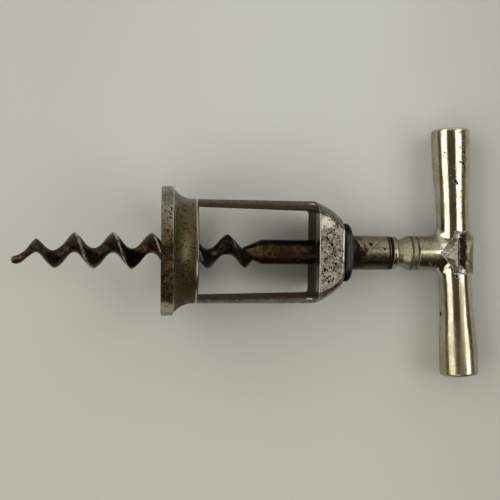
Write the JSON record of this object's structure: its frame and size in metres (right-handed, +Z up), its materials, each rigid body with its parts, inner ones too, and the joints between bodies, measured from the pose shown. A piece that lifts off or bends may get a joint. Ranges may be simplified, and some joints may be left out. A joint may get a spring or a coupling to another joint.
{
  "type": "corkscrew",
  "caption": "T handle corkscrew with an open two-pillar frame: a bell for the bottle's neck, a worm on a turning shank, and a cast T handle.",
  "frame": {"origin": "centre of the box around the resting corkscrew, at the table", "axes": "+X from the worm's point towards the T handle, +Y along the upper arm of the handle, +Z up; the screw's axis dips 8.8 degrees towards the handle"},
  "size_m": [0.1376, 0.0748, 0.038],
  "materials": {
    "frame_plate": "worn nickel plate over iron, stained and pitted with rust",
    "bush_black": "blackened steel with fine diagonal knurling",
    "worm_steel": "dark rust-brown steel with worn bright edges",
    "handle_plate": "worn nickel plate with pits and yellowish tarnish",
    "ring_steel": "dull steel"
  },
  "bodies": {
    "screw": {"worm_shank": "worm_steel", "t_handle": "handle_plate", "neck_ring": "ring_steel"},
    "frame": {"frame": "frame_plate", "knurled_bush": "bush_black"}
  },
  "joints": [
    {"name": "frame_turn", "type": "hinge", "parent": "screw", "child": "frame", "pos_m": [-0.02633, -0.00037, 0.0193], "axis": [0.9883, 0, -0.1525], "continuous": true}
  ]
}
